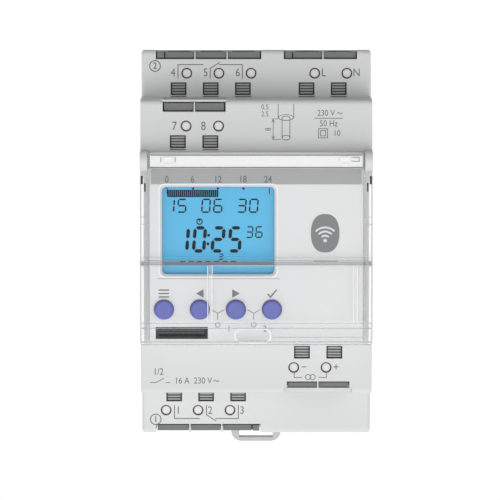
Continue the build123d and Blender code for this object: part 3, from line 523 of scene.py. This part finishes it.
def digit(mesh, figure, x, z, width, height, bar, lean=0.08):
    """A seven-segment figure whose lower left corner is at (x, z), leaning to the right."""
    gap = bar * 0.2
    half = height / 2
    levels = {"a": height, "g": half, "d": 0}
    for segment in SEGMENTS[figure]:
        if segment in levels:
            ends = [(gap, levels[segment]), (width - gap, levels[segment])]
        else:
            side = width if segment in "bc" else 0
            low = half if segment in "bf" else 0
            ends = [(side, low + gap), (side, low + half - gap)]
        points = [(x + across + up * lean, z + up) for across, up in ends]
        run = Vector((points[1][0] - points[0][0], points[1][1] - points[0][1]))
        along = run.normalized() * bar / 2
        across = Vector((-along.y, along.x))
        start, end = Vector(points[0]), Vector(points[1])
        upper = [start + along + across, end - along + across]
        lower = [end - along - across, start + along - across]
        plate(mesh, [(corner.x, corner.y) for corner in (start, *upper, end, *lower)])


lcd_black = moulded("lcd_black", (0.002, 0.006, 0.014), 0.6, round_edge=0.01, specular=0.05)
figures = bmesh.new()
# The day's programme: five marks over the bar, which is filled up to noon
for x in (-14.55, -8.85, -2.95):
    stroke(figures, arc((x, 13.8), 0.14, 0, 360, 8), 0.26)
for x in (-20.55, 3.0):
    stroke(figures, [(x, 13.9), (x, 12.5)], 0.22)
for number in range(25):
    x = -20.35 + number * 0.475
    stroke(figures, [(x, 11.95), (x, 13.35)], 0.4)
stroke(figures, [(-20.5, 11.9), (-8.75, 11.9)], 0.16)
stroke(figures, [(-20.5, 13.4), (-8.75, 13.4)], 0.16)
# Day, month and year, then the hour and minutes, and the seconds
for text, x in (("15", -20.9), ("06", -12.6), ("30", -4.35)):
    for place, figure in enumerate(text):
        digit(figures, figure, x + place * 2.75, 8.35, 1.8, 2.95, 0.36)
for figure, x in (("1", -18.4), ("0", -14.5), ("2", -10.2), ("5", -6.3)):
    digit(figures, figure, x, -0.65, 2.35, 5.35, 0.8)
for z in (1.0, 3.0):
    stroke(figures, [(-11.55 + z * 0.08, z), (-10.95 + z * 0.08, z)], 0.6)
for figure, x in (("3", -2.35), ("6", -0.15)):
    digit(figures, figure, x, 2.5, 1.4, 2.45, 0.3)
digit(figures, "3", -8.7, -2.65, 0.9, 1.3, 0.24)
# A ring with a stroke, seven dashes for the days, and the day's number over them
stroke(figures, arc((-13.1, 6.15), 0.62, 0, 360, 16), 0.26)
stroke(figures, [(-13.1, 6.15), (-13.1, 6.9)], 0.26)
for number in range(7):
    x = -17.6 + number * 1.95
    stroke(figures, [(x, -3.15), (x + 1.2, -3.15)], 0.32)
piece("lcd_figures", figures, lcd_black, "case", lambda z: cell_front - PROUD / 2)

# A pale line round the display's opening, a painted highlight for light caught on its bevel, and a painted
# shadow line under it
lens_low, lens_high = (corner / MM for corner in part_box("lcd_lens"))
LENS_MARGIN = 0.35  # how far the pale rim stands inside the lens's own edge
display_rim = bmesh.new()
RIM_ROUND = 1.2
rim_low = lens_low + Vector((LENS_MARGIN, 0, LENS_MARGIN))
rim_high = lens_high - Vector((LENS_MARGIN, 0, LENS_MARGIN))
rim_left, rim_right = rim_low.x + RIM_ROUND, rim_high.x - RIM_ROUND
rim_foot, rim_head = rim_low.z + RIM_ROUND, rim_high.z - RIM_ROUND
outline = arc((rim_right, rim_head), RIM_ROUND, 0, 90, 5)
outline += arc((rim_left, rim_head), RIM_ROUND, 90, 180, 5)
outline += arc((rim_left, rim_foot), RIM_ROUND, 180, 270, 5)
outline += arc((rim_right, rim_foot), RIM_ROUND, 270, 360, 5)
stroke(display_rim, outline, 0.26, closed=True)
rim_painted_highlight = moulded("rim_painted_highlight", (0.9, 0.9, 0.9), 0.35, shift=0.01, round_edge=0.05)
piece("display_rim", display_rim, rim_painted_highlight, "case", lambda z: panel_front - PROUD / 2)
shadow = bmesh.new()
stroke(shadow, [(rim_low.x - 0.3, rim_low.z - 0.35), (rim_high.x + 0.5, rim_low.z - 0.35)], 0.2)
rim_shadow = moulded("rim_shadow", (0.46, 0.46, 0.465), 0.5, shift=0.02, round_edge=0.01)
piece("display_rim_painted_shadow", shadow, rim_shadow, "case", lambda z: panel_front - PROUD / 2)


# Buttons: four blue caps of satin plastic, standing in round holes of the panel.
# Each rests on a dome of one grey silicone mat, which pushes it back.
button_blue = moulded("button_blue", (0.115, 0.138, 0.455), 0.35, grain=0.05, round_edge=0.15, specular=0.3)
for name in nodes:
    if name.startswith("button_"):
        dress(button_blue, name)
dress(moulded("keypad_grey", (0.3, 0.31, 0.33), 0.7), "keypad_mat")


# Cover: one clear polycarbonate moulding on two pins in the ears. Its front is a thin wall with a shallow
# step, a raised pad and a thumb scoop; ribs stiffen it, and the thick bar at the hinge looks cloudy.
cover_low, cover_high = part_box("front_cover")
PAD_PROUD = 0.25
COVER_STEP = 1.0
STEP_HIGH, STEP_LOW = -2.4, -3.3
LIP_START = -17.5
LIP_FALL = 2.6 / 4.8
cover_front = cover_low.y / MM + PAD_PROUD
cover_side = cover_high.x / MM
cover_foot = cover_low.z / MM


def cover_depth(z):
    """The depth of the cover's face at this height, in mm, on its step and on its sloping lip."""
    if z > STEP_HIGH:
        return cover_front + COVER_STEP
    if z > STEP_LOW:
        return cover_front + COVER_STEP * (z - STEP_LOW) / (STEP_HIGH - STEP_LOW)
    if z < LIP_START:
        return cover_front + (LIP_START - z) * LIP_FALL
    return cover_front


# The rim term of the cover's clear material puts painted highlight lines along its corners.
cover_clear = clear(
    "cover_clear", (0.9, 0.905, 0.91), 0.012, 0.38, 0.08, rim=0.5, edge_glint_width=0.3, specular=0.14
)
dress(cover_clear, "front_cover")
# The fine lines laid on the cover are painted light: grey ones are painted shade and white ones painted
# highlights, for the light that the clear moulding's corners, ribs, step and scoop bend and reflect.
rib_painted_shade = clear("rib_painted_shade", (0.42, 0.43, 0.44), 0.42, 0.6, 0.1, specular=0.5)
rib_painted_highlight = clear("rib_painted_highlight", (0.97, 0.97, 0.97), 0.7, 0.85, 0.1, specular=0.6)
FINE = 0.14
shade_lines = bmesh.new()
highlight_lines = bmesh.new()
# Along each side: painted shade lines at the wall's inner face and at the outer edge, and a painted
# highlight just inside the outer edge.
for side in (-1, 1):
    wall = side * (cover_side - 1.9)
    rim_line = side * (cover_side - 0.12)
    lit_line = side * (cover_side - 0.65)
    stroke(shade_lines, [(wall, 16.5), (wall, -16.2)], FINE * 1.3)
    stroke(shade_lines, [(rim_line, 17.0), (rim_line, cover_foot + 0.4)], FINE)
    stroke(highlight_lines, [(lit_line, 16.8), (lit_line, cover_foot + 0.5)], 0.5)
    # Painted shade lines at the groove that snaps over the panel's side
    for z in (6.0, 7.6):
        stroke(shade_lines, [(side * (cover_side - 1.5), z), (side * (cover_side - 0.2), z)], FINE)
# Painted shade lines at the step's two corners, the lip's bend, and the frame line round the lip
across = cover_side - 0.3
stroke(shade_lines, [(-across, STEP_HIGH + 0.7), (across, STEP_HIGH + 0.7)], FINE)
stroke(shade_lines, [(-across, STEP_HIGH), (across, STEP_HIGH)], FINE)
stroke(shade_lines, [(-across, STEP_LOW), (across, STEP_LOW)], FINE)
stroke(shade_lines, [(-across, LIP_START + 0.75), (across, LIP_START + 0.75)], FINE)
stroke(shade_lines, [(-across, LIP_START - 0.45), (across, LIP_START - 0.45)], FINE * 1.8)
frame_line = [(3.6, -20.15), (cover_side - 2.4, -20.15)]
frame_line += [(cover_side - 2.0, -19.7), (cover_side - 2.0, LIP_START - 0.5)]
stroke(shade_lines, frame_line, FINE * 1.3)
for z in (-21.3, cover_foot + 0.35):
    stroke(shade_lines, [(-across, z), (across, z)], FINE * 2)
# A painted shade line where the step bends the view of the badge's foot
stroke(shade_lines, [(13.1, STEP_HIGH - 0.1), (18.7, STEP_HIGH - 0.1)], FINE * 1.6)
# Two pairs of upright ribs, each edge drawn as a painted highlight with a painted shade line beside it
for x in (-11.15, -10.15, 22.35, 23.2):
    stroke(highlight_lines, [(x, STEP_LOW - 0.2), (x, LIP_START + 1.0)], FINE * 1.2)
    stroke(shade_lines, [(x + 0.2, STEP_LOW - 0.2), (x + 0.2, LIP_START + 1.0)], FINE * 0.7)
# The raised edge of the thumb scoop as a painted highlight, with a painted shade line at its foot
scoop_outline = arc((-3.2, -19.85), 1.75, 90, 270, 10) + arc((1.6, -19.85), 1.75, -90, 90, 10)
stroke(highlight_lines, scoop_outline, FINE * 1.8, closed=True)
stroke(shade_lines, [(-4.2, -20.9), (2.6, -20.9)], FINE * 1.2)
piece("cover_painted_shade_lines", shade_lines, rib_painted_shade, "cover", lambda z: cover_depth(z) - PROUD)
# A grey band on the step's slope is painted shade, for the slope seen at a steep angle.
step_painted_shade = clear("step_painted_shade", (0.5, 0.505, 0.51), 0.3, 0.4, 0.2)
step_band = bmesh.new()
step_middle = (STEP_HIGH + STEP_LOW) / 2 - 0.1
stroke(step_band, [(-across, step_middle), (across, step_middle)], 0.75)
piece("cover_step_band", step_band, step_painted_shade, "cover", lambda z: cover_depth(z) - PROUD / 2)
piece("cover_painted_highlight_lines", highlight_lines, rib_painted_highlight, "cover", cover_depth)


def block_on_cover(mesh, x, z, size, round_by):
    """A small block with rounded corners, standing on y = 0."""
    made = bmesh.ops.create_cube(mesh, size=1)
    place = Matrix.Translation((x, 0, z)) @ Matrix.Diagonal((*size, 1))
    bmesh.ops.transform(mesh, matrix=place, verts=made["verts"])
    edges = list({edge for corner in made["verts"] for edge in corner.link_edges})
    bmesh.ops.bevel(mesh, geom=edges, offset=round_by, segments=2, profile=0.5, affect="EDGES", material=-1)


# The hinge bar: a cloudy core, two bearing blocks whose white is painted highlight, and the fine line where
# the bar meets the wall
HINGE_BAR_BACK = 2.05
HINGE_BLOCKS_BACK = 1.95
HINGE_LINES_BACK = 1.75
hinge_cloud = clear("hinge_cloud", (0.97, 0.97, 0.97), 0.62, 0.8, 0.15, specular=0.5)
bar = bmesh.new()
block_on_cover(bar, 0, 20.45, (2 * cover_side - 4.6, 0.3, 2.9), 0.12)
piece("hinge_bar_face", bar, hinge_cloud, "cover", lambda z: cover_front + HINGE_BAR_BACK)
blocks = bmesh.new()
for x in (-20.3, 20.2):
    block_on_cover(blocks, x, 20.9, (2.2, 0.36, 1.1), 0.12)
    block_on_cover(blocks, x + 0.1, 19.5, (1.7, 0.36, 0.9), 0.12)
piece("hinge_blocks", blocks, rib_painted_highlight, "cover", lambda z: cover_front + HINGE_BLOCKS_BACK)
lines = bmesh.new()
stroke(lines, [(-across + 2.2, 19.0), (across - 2.2, 19.0)], FINE * 1.5)
stroke(lines, [(-across + 2.2, 21.8), (across - 2.2, 21.8)], FINE * 1.5)
stroke(lines, [(-21.9, 21.4), (-21.9, 20.2)], FINE)
stroke(lines, [(-18.6, 21.4), (-18.6, 20.2)], FINE)
stroke(lines, [(21.8, 21.3), (23.6, 21.3), (23.6, 20.4), (21.8, 20.4)], FINE)
line_dark = clear("line_dark", (0.2, 0.2, 0.21), 0.55, 0.7, 0.2)
piece("hinge_lines", lines, line_dark, "cover", lambda z: cover_front + HINGE_LINES_BACK)

# Small black plates on the cover beside the ears, two on each side: painted shade for the dark openings
# between the ears and the cover
gap_shades = bmesh.new()
for side in (-1, 1):
    block_on_cover(gap_shades, side * (cover_side - 0.5), 16.15, (0.5, 0.3, 1.9), 0.08)
    block_on_cover(gap_shades, side * (cover_side - 1.2), 14.5, (0.34, 0.3, 2.0), 0.08)
gap_painted_shade = moulded("gap_painted_shade", (0.03, 0.031, 0.033), 0.55, round_edge=0.05, specular=0.3)
piece("cover_gap_shades", gap_shades, gap_painted_shade, "cover", lambda z: cover_depth(z) + 0.05)


# Latch: a whitish slider of tough plastic in the rear shell's channel, drawn up by one steel coil.
# The coil is a copy of the part's spring in steel, baked in place, and the original is hidden.
dress(moulded("latch_white", (0.5, 0.5, 0.5), 0.45, grain=0.15), "rail_latch")
coil = nodes["rail_latch_spring"].copy()
coil.data = coil.data.copy()
coil.name = "latch_coil"
coil.parent = None
coil.matrix_world = nodes["rail_latch_spring"].matrix_world.copy()
bpy.context.scene.collection.objects.link(coil)
coil.data.materials.clear()
coil.data.materials.append(spring_steel)
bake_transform(coil)
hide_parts("rail_latch_spring")


# Inside: three circuit boards, two sealed relays, the capacitors, the battery and the smaller parts.
# Each takes the colour that such a part usually has.
board_green = moulded("board_green", (0.02, 0.13, 0.06), 0.35, shift=0.15, round_edge=0.05)
dress(board_green, "main_board", "display_board", "link_board")
part_black = moulded("part_black", (0.02, 0.02, 0.022), 0.45)
dress(part_black, "relay_1", "relay_2", "microcontroller", "card_socket", "zebra_strip")
dress(moulded("light_guide", (0.85, 0.86, 0.88), 0.3), "backlight")
dress(moulded("film_capacitor", (0.62, 0.47, 0.05), 0.4), "mains_capacitor")
dress(moulded("capacitor_sleeve", (0.03, 0.03, 0.05), 0.3), "buffer_capacitor")
dress(moulded("varistor_blue", (0.02, 0.08, 0.35), 0.3), "varistor")
dress(moulded("fuse_grey", (0.35, 0.38, 0.36), 0.6), "fuse_resistor")
dress(moulded("battery_sleeve", (0.03, 0.22, 0.12), 0.35), "battery")
dress(metal("tinned_strip", (0.72, 0.71, 0.69), 0.3), "battery_tabs", "radio_module")


# Card reader: a black plastic socket behind the slot in the panel, closed by a ribbed dust flap.
# The flap's four ribs are thin raised strips on the socket's front.
SLOT_LEFT = -23.6
SLOT_RIGHT = -12.0
FIRST_RIB = -17.75
RIB_PITCH = 0.62
socket_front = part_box("card_socket")[0].y / MM
flap = bmesh.new()
for step in range(4):
    z = FIRST_RIB - RIB_PITCH * step
    stroke(flap, [(SLOT_LEFT, z), (SLOT_RIGHT, z)], 0.16)
flap_grey = moulded("flap_grey", (0.1, 0.1, 0.105), 0.4, round_edge=0.02)
piece("card_flap_ribs", flap, flap_grey, "case", lambda z: socket_front - PROUD)


# Studio: a wide pale bowl of paper, lit evenly, with a broad soft light ahead and below the eye
# and a weaker one behind. It isn't part of the timer.
FLOOR = -1.1
BOWL_RADIUS = 4.5
BOWL_CURVE = 1.2
BOWL_WALL = 1.5
paper = moulded("paper", (0.2, 0.2, 0.2), 0.9, shift=0.02, round_edge=0.0)
paper.node_tree.nodes["Principled BSDF"].inputs["Emission Color"].default_value = (1, 1, 1, 1)
paper.node_tree.nodes["Principled BSDF"].inputs["Emission Strength"].default_value = 0.88
bowl = bmesh.new()
rim = [(0.001, 0), (BOWL_RADIUS - BOWL_CURVE, 0)]
for step in range(1, 9):
    turn = math.radians(90 * step / 8)
    rim.append((BOWL_RADIUS - BOWL_CURVE + BOWL_CURVE * math.sin(turn), BOWL_CURVE * (1 - math.cos(turn))))
rim.append((BOWL_RADIUS, BOWL_CURVE + BOWL_WALL))
profile = [bowl.verts.new((out, 0, FLOOR + up)) for out, up in rim]
edges = [bowl.edges.new(pair) for pair in zip(profile, profile[1:])]
bmesh.ops.spin(
    bowl, geom=profile + edges, cent=(0, 0, 0), axis=(0, 0, 1), angle=math.tau, steps=48, use_merge=True
)
for face in bowl.faces:
    face.smooth = True
    face.normal_update()
if sum(face.normal.z for face in bowl.faces) < 0:
    bmesh.ops.reverse_faces(bowl, faces=bowl.faces)
data = bpy.data.meshes.new("floor")
bowl.to_mesh(data)
bowl.free()
data.materials.append(paper)
floor = bpy.data.objects.new("floor", data)
bpy.context.scene.collection.objects.link(floor)

world = bpy.data.worlds.new("studio")
bpy.context.scene.world = world
world.use_nodes = True
world.node_tree.nodes["Background"].inputs["Color"].default_value = (1, 1, 1, 1)
world.node_tree.nodes["Background"].inputs["Strength"].default_value = 0.32


def softbox(name, place, target, size, watts):
    """A broad area light at place, facing target, that the eye doesn't see."""
    lamp = bpy.data.lights.new(name, "AREA")
    lamp.shape = "RECTANGLE"
    lamp.size, lamp.size_y = size
    lamp.energy = watts
    thing = bpy.data.objects.new(name, lamp)
    thing.location = place
    thing.rotation_euler = (Vector(target) - Vector(place)).to_track_quat("-Z", "Y").to_euler()
    thing.visible_camera = False
    bpy.context.scene.collection.objects.link(thing)


softbox("key", (0.1, -1.05, -0.25), (0, -0.03, 0), (0.6, 0.5), 2.6)
softbox("back_fill", (-0.7, 0.9, 0.5), (0, -0.03, 0), (0.5, 0.5), 1.5)

camera = bpy.data.cameras.new("camera")
CAMERA_DISTANCE = 1.019
CAMERA_RISE = math.radians(5.4)
FIELD_WIDTH = 0.1171  # seen across, at the outer tiers' front
SENSOR_WIDTH = 36
AIM_X = -0.00145
AIM_Z = -0.00183
camera.sensor_width = SENSOR_WIDTH
camera.lens = camera.sensor_width * CAMERA_DISTANCE / FIELD_WIDTH
aim = Vector((AIM_X, OUTER_FRONT * MM, AIM_Z))
direction = Vector((0, -math.cos(CAMERA_RISE), math.sin(CAMERA_RISE)))
eye = bpy.data.objects.new("camera", camera)
eye.location = aim + direction * CAMERA_DISTANCE
eye.rotation_euler = (-direction).to_track_quat("-Z", "Y").to_euler()
bpy.context.scene.collection.objects.link(eye)
bpy.context.scene.camera = eye
bpy.context.scene.view_settings.view_transform = "Standard"
